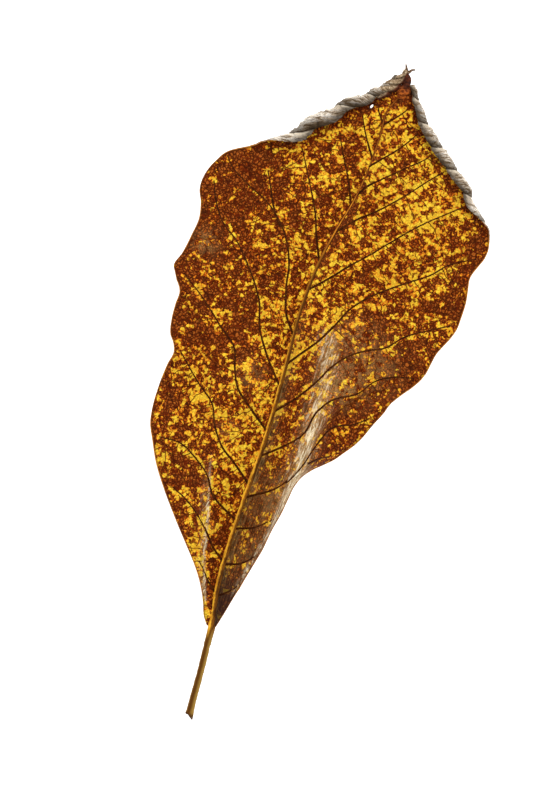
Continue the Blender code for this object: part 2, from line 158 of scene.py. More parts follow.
RIGHT_LINES = [
    (0, 0.7, (0.15, 0.8, 3.25), (0.4, 0.9, 3.3), 0.9),
    (1, 7.2, (1, 9.1, 5.2), (2.1, 10, 5.8), 10.8),
    (2, 14.5, (1.8, 17.8, 7.4), (3.5, 19.3, 8.2), 20.4),
    (3, 22.7, (2.6, 26.6, 8.9), (4.5, 28.6, 9.6), 30.5),
    (3.35, 25.1, (3, 32.2, 9.6), (5.1, 35.9, 9.2), 38.3),
    (3.7, 27.6, (4.3, 36.3, 9.8), (7.3, 42.6, 6.9), 45.6),
    (4, 29.9, (5.3, 41.9, 9.6), (9.6, 51, 3.9), 56.5),
    (5, 39.5, (6.2, 52.6, 8.4), (14.4, 61.6, 3), 67.4),
    (6, 49.5, (6.2, 64.4, 6.6), (16.4, 72.6, 3.4), 81.5),
    (7, 60.5, (5.4, 77, 5.4), (15.5, 86.8, 4.2), 97.2),
    (8, 77.6, (3.6, 87.6, 5), (13.5, 99.2, 5), 107.4),
    (9, 91.4, (2.6, 98.2, 5.3), (9.4, 105.8, 5.6), 114.8),
    (10, 100.4, (1.6, 105.3, 5.7), (6.9, 110.6, 6), 117.4),
    (11, 107.6, (1.2, 110.7, 6.1), (4, 114.3, 6.3), 121.4),
    (12, 117.3, (0, 119.1, 6.5), (1.6, 121, 6.7), 125),
    (13, 124.4, (0.3, 125.4, 6.8), (0.7, 126.4, 6.8), 127.8),
]
ALONG = (0, 0.36, 0.68, 1)

# Side veins as seen from above, each from its root outwards
LEFT_VEINS = [
    [(-1.5, 7.5), (-4, 9.8), (-6.2, 12.3), (-7.6, 13.4)],
    [(-2.3, 14.8), (-6, 17.5), (-8.4, 20.4), (-12.2, 23.7), (-16, 25.8), (-18.6, 26.8)],
    [(-2.5, 24.4), (-6, 25.9), (-9.8, 28.3), (-12.1, 31.9), (-16.1, 34.7), (-20.2, 36.5),
     (-25, 36.2)],
    [(-2.9, 32.8), (-7.6, 36.3), (-11.2, 38.7), (-14.3, 42.8), (-16.2, 46.8), (-21, 50.4),
     (-26.8, 55.4)],
    [(-3, 45.2), (-8.3, 48.9), (-12.3, 52.1), (-14.6, 56.7), (-15.7, 59.8), (-20.7, 63.9),
     (-26.2, 68.2), (-32, 72)],
    [(-3.6, 55.3), (-8.1, 60.2), (-12, 65.8), (-14.4, 71.9), (-18.5, 77.5), (-23, 82.2),
     (-28, 85.8), (-30.7, 89.5), (-32.6, 93.5)],
    [(-4.6, 66.9), (-7.7, 70.8), (-9.6, 76), (-11, 82), (-14.8, 88.6), (-19.7, 92.7),
     (-25.6, 95.3), (-30, 97.9), (-31.6, 99.6)],
    [(-4.8, 84.2), (-7.4, 89.6), (-9.3, 94.3), (-11.8, 98.6), (-14.1, 102.4), (-16.7, 106.6)],
    [(-2.4, 98.1), (-4.3, 102.4), (-7.1, 107.2), (-9.6, 111.5)],
    [(-1.5, 109.6), (-4.2, 113.4), (-6.2, 116.9), (-7, 118.4)],
    [(-1.6, 117.3), (-3.4, 119.5), (-4.3, 121.2)],
    [(-15.4, 88.7), (-18, 92), (-20.4, 96.4), (-22.2, 99.6)],
]
RIGHT_VEINS = [
    [(-1.5, 7.2), (0.6, 9), (2.2, 11.2)],
    [(-2, 14.5), (1.5, 16.2), (3.6, 18.6)],
    [(-2.5, 22.7), (1.6, 24.6), (4.7, 27.8)],
    [(7.6, 41.6), (9.4, 43.4), (12, 45)],
    [(-2.6, 29.9), (3.7, 34.9), (6.4, 40.1), (8.1, 46.1), (10.2, 50.8), (14.6, 53.3), (17.2, 55.6)],
    [(-2.7, 39.5), (1.7, 43.6), (4.5, 46.9), (6, 53.3), (7.7, 56.2), (13, 60), (15.6, 63.7),
     (20.5, 66.4), (23.6, 67.2)],
    [(-3.3, 49.5), (1.2, 55.1), (3.8, 59.5), (5.8, 63.7), (8, 66.6), (11.3, 69.2), (15.2, 71.3),
     (18, 74.6), (23.2, 78.3), (27.4, 80.9)],
    [(-4, 60.5), (-1.9, 63.6), (0.9, 67.6), (3.2, 72.2), (5.4, 77.1), (8.4, 80.8), (11.9, 83.9),
     (15.5, 86.8), (19.2, 89.7), (22, 92.9), (27.6, 96.6)],
    [(-5.1, 77.6), (-1.3, 81.7), (1.9, 85.7), (5.3, 89.5), (9.3, 94.4), (13.5, 99.2), (17.8, 103.3),
     (21, 106.2)],
    [(-3.7, 91.4), (-0.4, 95.4), (4, 99.5), (8.2, 104.3), (12.2, 109.4), (14.4, 112)],
    [(-2.1, 100.4), (-0.4, 103.3), (2.7, 106.5), (6.2, 109.9), (9.6, 113.2), (10.4, 114.3)],
    [(-1.5, 107.6), (1.2, 110.7), (4.4, 114.8), (6.2, 117.9)],
    [(-1.6, 117.3), (0.4, 119.5), (2.6, 122.6)],
]
SIDE_VEIN_RADII = (0.37, 0.24)  # at the root and at the end
SIDE_VEIN_SINK = 0.35  # share of its radius that a side vein's middle lies below the upper face
CROSSED_LEFT_VEINS = 11  # how many side veins of the left half have cross veins
CROSS_VEIN_RADIUS = 0.12
CROSS_VEIN_SPACING = 2.7
CROSS_VEIN_STEP = 0.45
STREAK_GAP = 1.6  # no cross vein shows nearer to the right half's crest than this

# Folds that catch the light, as seen from above
RIGHT_CREST = [
    (1.4, 7), (2.5, 13), (3.7, 19), (4.7, 25), (5.5, 31), (6.2, 36), (6.4, 39.5), (6.2, 43.5), (6.1, 47.7),
    (5.6, 55.7), (4.8, 62.4), (3.2, 68.4),
]
LEFT_CREST = [
    (-3.4, 5.8), (-5, 9.8), (-6.6, 14), (-7.7, 18.3), (-9.1, 23.6), (-10.8, 28.9), (-12.7, 36.3),
]

# The tip: the left roll's twisted end, the blade's own brown end, and two horns
TIP_RODS = (  # path, radii, sides, how brown
    ([(-5, 122.4, 7.2), (-3.4, 124.8, 7.4), (-2, 126.7, 7.5), (-1.25, 128.3, 7.6), (-0.9, 129.4, 7.8),
      (-0.8, 130.3, 7.9)], (1, 1.4, 1.55, 1.35, 0.9, 0.45), 40, 0),
    ([(-0.1, 123.8, 6.7), (0.05, 125.4, 6.9), (0.2, 127, 7.1), (-0.2, 128.7, 7.4), (-0.6, 129.9, 7.7)],
     (0.7, 1.65, 1.35, 0.9, 0.45), 32, 1),
    ([(-0.4, 129.6, 7.9), (-1, 130.5, 8.3), (-1.4, 131.2, 8.9)], (0.34, 0.28, 0.2), 14, 0.5),
    ([(-0.2, 129.8, 8), (0.4, 130.6, 8.5), (1, 130.8, 8.6)], (0.34, 0.28, 0.2), 14, 0.5),
)
TIP_TWIST = 2.1  # length along Y between two seams of the rope
TIP_SLANT = 0.65  # how many twists a seam runs towards the tip from the middle to the right flank
RUSTY = (127, 125.2)  # stretch of Y over which the brown end turns rusty

# A hole eaten by an insect: x, y, half length, half width, how far it leans right
HOLE = (-5.4, 120.2, 0.5, 0.2, 0.45)

# Where the colours change: centres of yellow and of plain brown regions, as x, y, radius, amount added
YELLOW_PLACES = [
    (2, 112, 9, 0.35), (11, 101, 8, 0.38), (19, 95, 7, 0.25), (3, 95, 6, 0.15), (13, 87, 6, 0.2),
    (-3, 84, 6, 0.25), (-7, 62, 5, 0.35), (-8, 50, 5, 0.45), (-20, 48, 6, 0.3), (-6.5, 39.5, 3.5, 0.7),
    (-7, 28.5, 5, 0.4), (-0.5, 71, 5, 0.5), (-12, 92, 5, 0.1), (-12, 106, 8, 0.35), (-8.5, 15, 4.5, 0.9),
    (15.5, 108.5, 3.5, 0.5), (-17, 102, 3, 0.4), (-18, 84, 4, 0.2), (-1.8, 3.5, 2.2, 0.9),
    (-22.5, 30.5, 3.5, 0.6), (-9.5, 67.5, 3.5, 0.3), (-19.5, 41.5, 3.5, 0.3), (10.2, 103.3, 3.5, 0.35),
    (9.2, 53.5, 3, 0.3),
]
BROWN_PLACES = [
    (-29, 97, 9, 0.55), (-24, 104, 5, 0.3), (28.5, 94, 5, 0.5), (27.5, 82, 6, 0.25), (20, 68, 6, 0.45),
    (14, 56, 7.5, 0.4), (9, 45, 5, 0.25), (-17, 71, 4, 0.45), (-26.5, 41, 4, 0.5), (-5, 17, 4, 0.35),
    (-29, 79, 6, 0.5), (-14.5, 60, 4, 0.4), (-31, 64, 4, 0.4), (-22, 60, 4, 0.35), (3, 32, 6, 0.35),
    (3, 20, 5, 0.4), (-24, 87, 4, 0.25), (8, 66, 4, 0.3), (2.2, 7, 4.5, 0.9), (15.5, 79, 3.5, 0.4),
    (-32.5, 88.5, 3, 0.4), (-1, 127.5, 2.8, 0.9), (27, 101.5, 3.5, 0.5), (-13.5, 95.5, 3, 0.3),
    (8, 108.4, 3, 0.4), (-15, 30, 4, 0.3),
]

# Painted sheen, pale patches of reflected light over the blade: x, y, radius, amount
SHEEN_PLACES = [
    (-29.8, 80, 2.6, 0.5), (13, 66, 6, 0.45), (9.5, 59, 3.4, 0.55), (-10.5, 56, 3, 0.3), (3, 33, 4, 0.3),
    (-11.4, 43, 2, 0.35), (7.5, 72, 4, 0.35), (-8, 21, 1.2, 0.4),
]


# Curves and surfaces


def smooth(knots, values, at):
    """Values at the places in at, on a smooth curve through every knot."""
    knots = np.asarray(knots, float)
    values = np.asarray(values, float)
    at = np.clip(np.asarray(at, float), knots[0], knots[-1])
    slopes = np.gradient(values, knots, axis=0)
    left = np.clip(np.searchsorted(knots, at, side="right") - 1, 0, len(knots) - 2)
    span = knots[left + 1] - knots[left]
    u = (at - knots[left]) / span
    if values.ndim > 1:
        span = span[..., None]
        u = u[..., None]
    return ((1 + 2 * u) * (1 - u) ** 2 * values[left] + u * (1 - u) ** 2 * span * slopes[left]
            + u ** 2 * (3 - 2 * u) * values[left + 1] - u ** 2 * (1 - u) * span * slopes[left + 1])


def ease(low, high, value):
    """0 below low, 1 above high, and smooth between them."""
    u = np.clip((value - low) / (high - low), 0, 1)
    return u * u * (3 - 2 * u)


def along_y(line, y):
    """Points on a drawn line at the given y."""
    line = np.asarray(line, float)
    return smooth(line[:, 1], line, y)


def unit(vectors):
    return vectors / np.maximum(np.linalg.norm(vectors, axis=-1, keepdims=True), 1e-9)


def ripple(x, y, wavelength, seed):
    """Irregular smooth waves of about the given length, of height about 1."""
    draw = np.random.default_rng(seed)
    total = np.zeros(np.shape(x))
    waves = 7
    for _ in range(waves):
        heading = draw.uniform(0, math.tau)
        pitch = math.tau / (wavelength * draw.uniform(0.75, 1.4))
        along = x * math.cos(heading) + y * math.sin(heading)
        total = total + np.sin(pitch * along + draw.uniform(0, math.tau))
    return total / math.sqrt(waves)


def resample(points, spacing):
    """Evenly spaced points on a smooth curve through the given ones."""
    points = np.asarray(points, float)
    steps = np.concatenate([[0], np.cumsum(np.linalg.norm(np.diff(points, axis=0), axis=1))])
    count = max(3, int(math.ceil(steps[-1] / spacing)) + 1)
    return smooth(steps, points, np.linspace(0, steps[-1], count))


def distance_to(line, x, y):
    """Distance from above of each place from a line, and how far along the line that is, 0 to 1."""
    line = np.asarray(line, float)[:, :2]
    lengths = np.linalg.norm(np.diff(line, axis=0), axis=1)
    best = np.full(np.shape(x), 1e9)
    along = np.zeros(np.shape(x))
    done = 0
    for start, end, length in zip(line, line[1:], lengths):
        u = ((x - start[0]) * (end[0] - start[0]) + (y - start[1]) * (end[1] - start[1])) / length ** 2
        u = np.clip(u, 0, 1)
        gap = np.hypot(x - start[0] - u * (end[0] - start[0]), y - start[1] - u * (end[1] - start[1]))
        closer = gap < best
        best = np.where(closer, gap, best)
        along = np.where(closer, (done + u * length) / lengths.sum(), along)
        done += length
    return best, along


def roll_of(side, y):
    """Turn and radius of the margin's strip where the margin is at y, and how far it is rolled."""
    start, radii = LEFT_ROLL if side < 0 else RIGHT_ROLL
    rolled = ease(start, start + ROLL_GROWTH, y)
    turn = np.radians(EDGE_TURN + (ROLL_TURN - EDGE_TURN) * rolled)
    full_radius = smooth(ROLL_STATIONS, radii, y)
    flat_width = EDGE_WIDTH * (EDGE_AT_BASE + (1 - EDGE_AT_BASE) * ease(*BASE_TAPER, y))
    width = flat_width * (1 - rolled) + full_radius * math.radians(ROLL_TURN) * rolled
    return turn, width / turn, rolled


def rows_of(lines, margin):
    """Row numbers of the grid, evenly spaced along the margin and closer where it is rolled."""
    rows = []
    for first, second in zip(lines, lines[1:]):
        gap = np.linalg.norm(along_y(margin, first[4]) - along_y(margin, second[4]))
        spacing = ROLL_ROW_LENGTH if second[4] > LEFT_SEAMS[0] else ROW_LENGTH
        rows.append(np.linspace(first[0], second[0], max(4, math.ceil(gap / spacing)), endpoint=False))
    return np.concatenate(rows + [[float(lines[-1][0])]])


def inside():
    """For each column from midrib to margin, 1 in the middle and 0 at both ends."""
    return (np.sin(math.pi * np.linspace(0, 1, COLUMNS + 1)) ** 0.7)[None, :]


def flat_sheet(side, lines, margin):
    """One half's grid from midrib to the margin's strip, and y of each row's end on the margin."""
    rows = rows_of(lines, margin)
    order, roots, folds, outers, ends = zip(*lines)
    end_y = smooth(order, ends, rows)
    turn, radius, _ = roll_of(side, end_y)
    end = along_y(margin, end_y)
    outward = np.gradient(end, axis=0) * (1, 1, 0)
    outward = unit(np.stack([outward[:, 1], -outward[:, 0], np.zeros(len(rows))], axis=1)) * side
    end = end - outward * (radius * np.sin(np.minimum(turn, math.pi / 2)))[:, None]

    root = along_y(MIDRIB, smooth(order, roots, rows))
    corners = np.stack([root, smooth(order, folds, rows), smooth(order, outers, rows), end], axis=0)
    along = np.linspace(0, 1, COLUMNS + 1)
    sheet = np.stack([smooth(ALONG, corners[:, row], along) for row in range(len(rows))], axis=0)
    x, y = sheet[..., 0], sheet[..., 1]
    puff = QUILT * np.sin(math.pi * (rows % 1))[:, None] * inside()
    waves = CRUMPLE * np.sin(0.31 * x + 0.12 * y + 0.6) * np.sin(0.19 * y - 0.09 * x + 1.1) * inside()
    sheet[..., 2] += puff + waves
    return sheet, end_y


def rolled_strip(sheet, side, roll, twist, slant):
    """The margin's strip, rolled about an axis along the margin and twisted like a rope."""
    turn, radius, rolled = roll
    edge = sheet[:, -1]
    run = unit(np.gradient(edge, axis=0))
    across = edge - sheet[:, -2]
    out = unit(across - run * np.sum(across * run, axis=1, keepdims=True))
    up = unit(np.cross(out, run)) * side
    length = np.cumsum(np.linalg.norm(np.gradient(edge, axis=0), axis=1))
    strip = []
    for column in range(1, ROLL_COLUMNS + 1):
        part = column / ROLL_COLUMNS
        angle = turn * part
        within = (twist - slant * part) % 1
        lobe = LOBE_SWELL * np.sin(math.pi * within) ** 0.6 - LOBE_PINCH + LOBE_DRIFT * within
        creases = sum(height * ripple(length + lean * part, pitch * part, wavelength, seed)
                      for height, lean, pitch, wavelength, seed in ROLL_CREASES)
        reach = radius * (1 + rolled * math.sqrt(part) * (lobe + creases))
        sideways, upwards = reach * np.sin(angle), reach * (1 - np.cos(angle))
        strip.append(edge + out * sideways[:, None] + up * upwards[:, None])
    return np.stack(strip, axis=1)


def add_relief(sheet, side):
    """Fine relief of the blade between midrib and strip, added to the grid's heights."""
    flat = np.concatenate([inside()[0], np.zeros(ROLL_COLUMNS)])[None, :]
    x, y = sheet[..., 0], sheet[..., 1]
    sheet[..., 2] += flat * sum(height * ripple(x, y, wavelength, seed)
                                for height, wavelength, seed in BLADE_RIPPLES)
    gap, _ = distance_to(RIGHT_CREST if side > 0 else LEFT_CREST, x, y)
    height, wavelength, seed = CREST_RIPPLE
    sheet[..., 2] += flat * height * near(gap, CREST_WIDTH) * ripple(x, 0.22 * y, wavelength, seed)


def margin_facts(sheet, roll, twist, slant):
    """Each point's place on and beside the margin's strip, for the mesh and the colours."""
    turn, radius, rolled = roll
    part = np.concatenate([np.zeros(COLUMNS + 1), np.linspace(0, 1, ROLL_COLUMNS + 1)[1:]])
    near_margin = ease(COLUMNS - 8, COLUMNS, np.arange(sheet.shape[1]))
    width = (turn * radius)[:, None]
    inner_gap = np.linalg.norm(sheet[:, :COLUMNS + 1] - sheet[:, COLUMNS:COLUMNS + 1], axis=2)
    rim = np.concatenate([inner_gap + width, width * (1 - part[COLUMNS + 1:])[None, :]], axis=1)
    return {
        "square": ease(0, 0.05, rolled)[:, None] * near_margin[None, :],
        "roll": rolled[:, None] * part[None, :],
        "rolled": rolled[:, None] * (part > 0)[None, :],
        "rim": rim,
        # Painted shadow cast by the roll on the blade just inside it
        "roll_shadow": rolled[:, None] * np.where(part > 0, 0, 1) * np.exp(-(rim - width) ** 2 / 0.3),
        "twist": twist[:, None] - slant * part[None, :],
    }


def half_surface(side, lines, margin):
    """Middle surface of one half as a grid of points, and the facts of its margin."""
    sheet, end_y = flat_sheet(side, lines, margin)
    roll = roll_of(side, end_y)
    seams, slant = (LEFT_SEAMS, LEFT_SLANT) if side < 0 else (RIGHT_SEAMS, RIGHT_SLANT)
    twist = np.interp(end_y, seams, np.arange(len(seams))) + 1
    sheet = np.concatenate([sheet, rolled_strip(sheet, side, roll, twist, slant)], axis=1)
    add_relief(sheet, side)
    return sheet, margin_facts(sheet, roll, twist, slant)


# Where the colours change


def places(listed, x, y):
    total = np.zeros(np.shape(x))
    for px, py, radius, amount in listed:
        total = total + amount * np.exp(-((x - px) ** 2 + (y - py) ** 2) / radius ** 2)
    return total


def hole_distance(x, y):
    """Distance from the middle of the insect's hole, 1 on the hole's edge."""
    hole_x, hole_y, half_length, half_width, lean = HOLE
    right, up = x - hole_x, y - hole_y
    lengthways = right * math.sin(lean) + up * math.cos(lean)
    across = right * math.cos(lean) - up * math.sin(lean)
    return np.hypot(lengthways / half_length, across / half_width)


def near(gap, width):
    """1 on a line and falling to 0 over about the given width."""
    return np.exp(-(gap / width) ** 2)


def right_fold(x, y):
    """Streak along the right half's fold, the worn crest's paleness with a painted highlight on it, and a
    wider painted sheen beside it, both strongest halfway up.
    """
    gap, along = distance_to(RIGHT_CREST, x, y)
    streak = near(gap, 0.4 + 0.6 * ease(0.25, 0.55, along)) * (0.45 + 0.55 * ease(0.3, 0.5, along))
    streak = streak * ease(0, 0.15, along) * (1 - 0.85 * ease(0.62, 0.85, along))
    return streak, near(gap, 2.2) * ease(0.3, 0.55, along)


def left_fold(x, y):
    """Thin streak along the left half's fold, the worn crest's paleness with a painted highlight on it, and
    painted sheen on its outer side.
    """
    gap, along = distance_to(LEFT_CREST, x, y)
    streak = 0.85 * near(gap, 0.24) * (1 - 0.7 * ease(0.5, 1, along))
    crest_x, crest_y = np.array(LEFT_CREST).T
    outside = 1 - ease(-0.1, 0.3, x - np.interp(y, crest_y, crest_x))
    return streak, near(gap, 1.1) * outside * (1 - ease(0.6, 1, along))


def colour_facts(x, y, right_half):
    """How yellow the blade is at each place, and where it has painted sheen, streaks of worn paleness with
    painted highlights on the folds' crests, and painted shade.
    """
    streak, fold_sheen = right_fold(x, y) if right_half else left_fold(x, y)
    veins = RIGHT_VEINS if right_half else LEFT_VEINS
    vein_gap = np.min([distance_to(vein, x, y)[0] for vein in veins], axis=0)
    midrib_gap, _ = distance_to(MIDRIB, x, y)
    shade = near(midrib_gap, 1.8) * (1 - 0.9 * ease(50, 78, y))
    shade = np.maximum(shade, 0.42 * (1 - ease(28, 44, y)))
    return {
        "yellow": 0.5 + places(YELLOW_PLACES, x, y) - places(BROWN_PLACES, x, y),
        # Painted sheen: pale patches where the blade reflects the light
        "painted_sheen": places(SHEEN_PLACES, x, y),
        # Painted sheen on the flanks of the folds
        "fold_sheen": fold_sheen,
        # Painted shade over the right half's base, and the withered tip's own dark brown
        "base_shade_tip_brown": np.maximum(right_half * (1 - ease(8, 16, y)), 0.75 * ease(124.8, 127, y)),
        # Worn paleness of the folds' crests, with a painted highlight on it
        "streak": streak,
        "shade": shade * right_half,
        "vein_gap": vein_gap,
        "bitten": ease(3.6, 1.3, hole_distance(x, y)),
    }


# Meshes


def to_frame(points):
    """Drawing millimetres to the part's own metres."""
    return (np.asarray(points, float) - (*BOX_MIDDLE, 0)) * MM


def add_object(name, data):
    thing = bpy.data.objects.new(name, data)
    bpy.context.scene.collection.objects.link(thing)
    return thing


def make_object(name, points, faces, facts, material, sharp):
    """A piece of the leaf, riding on the leaf's body."""
    mesh = bpy.data.meshes.new(name)
    mesh.from_pydata(to_frame(points).tolist(), [], faces)
    mesh.validate()
    for key, values in facts.items():
        attribute = mesh.attributes.new(key, "FLOAT", "POINT")
        attribute.data.foreach_set("value", np.asarray(values, np.float32).ravel())
    mesh.shade_smooth()
    mesh.set_sharp_from_angle(angle=math.radians(sharp))
    mesh.materials.append(material)
    piece = add_object(name, mesh)
    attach(piece, "root")
    return piece


def grid_faces(rows, columns, offset, flip, gone=None):
    """Quads of a grid of points, as lists of numbers, without those that are gone."""
    i, j = np.meshgrid(np.arange(rows - 1), np.arange(columns - 1), indexing="ij")
    a = offset + i * columns + j
    quads = np.stack([a, a + 1, a + columns + 1, a + columns], axis=-1)
    quads = quads.reshape(-1, 4) if gone is None else quads[~gone]
    return quads[:, ::-1].tolist() if flip else quads.tolist()


def in_hole(sheet):
    """Which quads of the grid an insect has eaten away."""
    middles = (sheet[1:, 1:] + sheet[:-1, 1:] + sheet[1:, :-1] + sheet[:-1, :-1]) / 4
    gone = hole_distance(middles[..., 0], middles[..., 1]) < 1
    gone[:, COLUMNS:] = False
    return gone


def walls(gone, columns, start, size, side):
    """Quads between the upper and the lower face, round the grid and round the quads that are gone."""
    faces = []
    away = np.pad(gone, 1, constant_values=True)
    for i, j in np.argwhere(~gone):
        a = int(start + i * columns + j)
        corners = (a, a + 1, a + columns + 1, a + columns)
        beside = (away[i, j + 1], away[i + 1, j + 2], away[i + 2, j + 1], away[i + 1, j])
        for first, second, open_side in zip(corners, corners[1:] + corners[:1], beside):
            if open_side:
                quad = (first, first + size, second + size, second)
                faces.append(quad if side > 0 else quad[::-1])
    return faces


def lamina(sheet, square, side):
    """Upper and lower face of the blade, by the same rule as the solid."""
    normal = unit(np.cross(np.gradient(sheet, axis=1), np.gradient(sheet, axis=0))) * side
    upright = np.array((0, 0, 1)) / np.maximum(normal[..., 2:], STEEPEST)
    thick = LAMINA / 2 * (upright + (normal - upright) * square[..., None])
    lower = sheet - thick
    lower[..., 2] = np.maximum(lower[..., 2], 0)
    return sheet + thick, lower


def blade(halves, material):
    """Both halves of the blade in one mesh, each a closed sheet of real thickness."""
    points, faces, facts = [], [], []
    start = 0
    for side, sheet, known in halves:
        faces_of_sheet = lamina(sheet, known.pop("square"), side)
        rows, columns = sheet.shape[:2]
        size = rows * columns
        gone = in_hole(sheet)
        faces += grid_faces(rows, columns, start, side < 0, gone)
        faces += grid_faces(rows, columns, start + size, side > 0, gone)
        faces += walls(gone, columns, start, size, side)
        known = {**known, **colour_facts(sheet[..., 0], sheet[..., 1], float(side > 0))}
        flat = {key: value.ravel() for key, value in known.items()}
        for under, face in enumerate(faces_of_sheet):
            points.append(face.reshape(-1, 3))
            facts.append({**flat, "under": np.full(size, float(under))})
        start += 2 * size
    merged = {key: np.concatenate([part[key] for part in facts]) for key in facts[0]}
    piece = make_object("leaf_blade", np.concatenate(points), faces, merged, material, sharp=60)
    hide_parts("leaf")


def tube(path, radii, sides, cut=0):
    """A closed rod along a path: points, faces, how far each point is to the rod's side and above it."""
    heading = unit(np.gradient(path, axis=0))
    across = unit(np.cross(heading, (0, 0, 1)))
    over = np.cross(across, heading)
    angles = math.tau * (np.arange(sides) + 0.5) / sides
    sideways, upwards = np.cos(angles), np.sin(angles)
    reach = np.asarray(radii, float)[:, None, None]
    rings = path[:, None, :] + reach * (across[:, None, :] * sideways[None, :, None]
                                        + over[:, None, :] * upwards[None, :, None])
    rings[0] += heading[0] * (cut * radii[0] * sideways[:, None])
    rings[..., 2] = np.maximum(rings[..., 2], 0)
    count = len(path)
    faces = []
    for a in range(0, (count - 1) * sides, sides):
        b = a + sides
        for step in range(sides):
            after = (step + 1) % sides
            faces.append((a + step, a + after, b + after, b + step))
    faces.append(tuple(range(sides))[::-1])
    faces.append(tuple((count - 1) * sides + step for step in range(sides)))
    return rings.reshape(-1, 3), faces, np.tile(sideways, count), np.tile(upwards, count)


def joined(rods):
    """Several rods as one set of points, faces and facts."""
    points, rod_faces, sideways, upwards = zip(*rods)
    starts = np.cumsum([0] + [len(rod) for rod in points])
    faces = [tuple(int(start) + index for index in face)
             for start, listed in zip(starts, rod_faces) for face in listed]
    facts = {"sideways": np.concatenate(sideways), "upwards": np.concatenate(upwards)}
    return np.concatenate(points), faces, facts


def midrib_and_stalk(material):
    """The stalk and the midrib that carries it on through the blade, as one tapering rod."""
    line = np.array(STALK + MIDRIB)
    y = np.concatenate([np.linspace(STALK[0][1], -1.5, STALK_RINGS),
                        np.linspace(-1.2, MIDRIB[-1][1], MIDRIB_RINGS)])
    path = smooth(line[:, 1], line, y)
    uneven = sum((share * ripple(y, 0 * y, wavelength, seed) for share, wavelength, seed in RIB_RIPPLES), 1)
    radii = smooth(RIB_STATIONS, RIB_RADII, y) * uneven
    points, faces, sideways, upwards = tube(path, radii, RIB_SIDES, cut=CUT_SLANT)
    facts = {"sideways": sideways, "upwards": upwards, "length": np.repeat(y, RIB_SIDES)}
    make_object("midrib_and_stalk", points, faces, facts, material, sharp=70)


def on_surface(trees, line):
    """The line laid on the blade's middle surface. Stops where it leaves the blade."""
    laid = []
    for x, y in line:
        for tree in trees:
            hit = tree.ray_cast(Vector((x, y, 60)), Vector((0, 0, -1)))[0]
            if hit is not None:
                laid.append((x, y, hit.z))
                break
        else:
            if laid:
                break
    return np.array(laid)


def side_veins(trees, material):
    """Every side vein of both halves as one mesh of thin ribs, standing out further below than above."""
    rods = []
    for vein in LEFT_VEINS + RIGHT_VEINS:
        laid = on_surface(trees, resample(vein, 0.5))
        if len(laid) < 4:
            continue
        radii = np.linspace(*SIDE_VEIN_RADII, len(laid))
        laid[:, 2] -= (radii - LAMINA / 2) * SIDE_VEIN_SINK
        rods.append(tube(laid, radii, 8))
    make_object("side_veins", *joined(rods), material, sharp=80)


def cross_route(draw, start, heading, side, reach):
    """A line from a side vein that leans and wanders a little on its way across, as seen from above."""
    square = np.array((-heading[1], heading[0])) * -side
    lean = draw.uniform(-0.25, 0.45)
    steps = np.arange(0, reach, CROSS_VEIN_STEP)
    bend = draw.uniform(-0.05, 0.05)
    wander = 0.2 * ripple(steps, 0 * steps + start[0], 2.4, int(draw.integers(1000))) * ease(0, 1.5, steps)
    route = start + steps[:, None] * unit(square + lean * heading)
    return route + (bend * steps ** 2 + wander)[:, None] * heading


def cross_veins_from(near_vein, far_vein, side, draw, trees):
    """Rods of the cross veins that leave one side vein for the next, or for the margin."""
    rods = []
    spacing = 0.4
    trunk = resample(near_vein, spacing)
    other = resample(far_vein, spacing) if far_vein else None
    place = draw.uniform(1.2, 2.6)
    while place < spacing * (len(trunk) - 2):
        index = int(place / spacing)
        start = trunk[index]
        reach = 7
        if other is not None:
            reach = min(9, max(1, np.min(np.linalg.norm(other - start, axis=1))))
        route = cross_route(draw, start, unit(trunk[index + 1] - trunk[index - 1]), side, reach)
        laid = on_surface(trees, route)
        in_streak = distance_to(RIGHT_CREST, route[:, 0], route[:, 1])[0].min() < STREAK_GAP
        if len(laid) > 3 and not in_streak:
            radii = np.linspace(1.15, 0.75, len(laid)) * CROSS_VEIN_RADIUS
            laid[:, 2] += LAMINA / 2 - 0.3 * radii
            rods.append(tube(laid, radii, 4))
        place += CROSS_VEIN_SPACING * draw.uniform(0.6, 1.4)
    return rods


def cross_veins(trees, material):
    """Fine veins that branch from each side vein and wander across to the next one."""
    draw = np.random.default_rng(4)
    rods = []
    for veins, side in ((LEFT_VEINS[:CROSSED_LEFT_VEINS], -1), (RIGHT_VEINS, 1)):
        for near_vein, far_vein in zip(veins, veins[1:] + [None]):
            rods += cross_veins_from(near_vein, far_vein, side, draw, trees)
    make_object("cross_veins", *joined(rods), material, sharp=80)


def shrivelled_tip(material):
    """The blade's point, shrunk and twisted like the rolled margins, with two horns."""
    rods, more = [], {"within": [], "brown": [], "rust": []}
    for path, radii, sides, brown in TIP_RODS:
        fine = resample(path, 0.12)
        widths = smooth(np.linspace(0, 1, len(radii)), radii, np.linspace(0, 1, len(fine)))
        points, faces, sideways, upwards = tube(fine, widths * 0.92, sides)
        middle = np.repeat(fine, sides, axis=0)
        within = (middle[:, 1] / TIP_TWIST - TIP_SLANT * sideways) % 1
        crumple = 0.7 + 0.42 * np.sin(np.pi * within) ** 0.6
        crumple += 0.06 * ripple(points[:, 0] + points[:, 2], points[:, 1] * 0.5, 0.9, 31)
        rods.append((middle + (points - middle) * crumple[:, None], faces, sideways, upwards))
        more["within"].append(within)
        more["brown"].append(np.full(len(points), brown))
        more["rust"].append(brown * ease(*RUSTY, middle[:, 1]))
    points, faces, facts = joined(rods)
    facts |= {key: np.concatenate(values) for key, values in more.items()}
    make_object("shrivelled_tip", points, faces, facts, material, sharp=70)


# Materials


def linear(colour):
    """A colour given as on a screen, 0 to 255, as the linear values that shaders use."""
    shares = [value / 255 for value in colour]
    return tuple(s / 12.92 if s <= 0.04045 else ((s + 0.055) / 1.055) ** 2.4 for s in shares) + (1,)


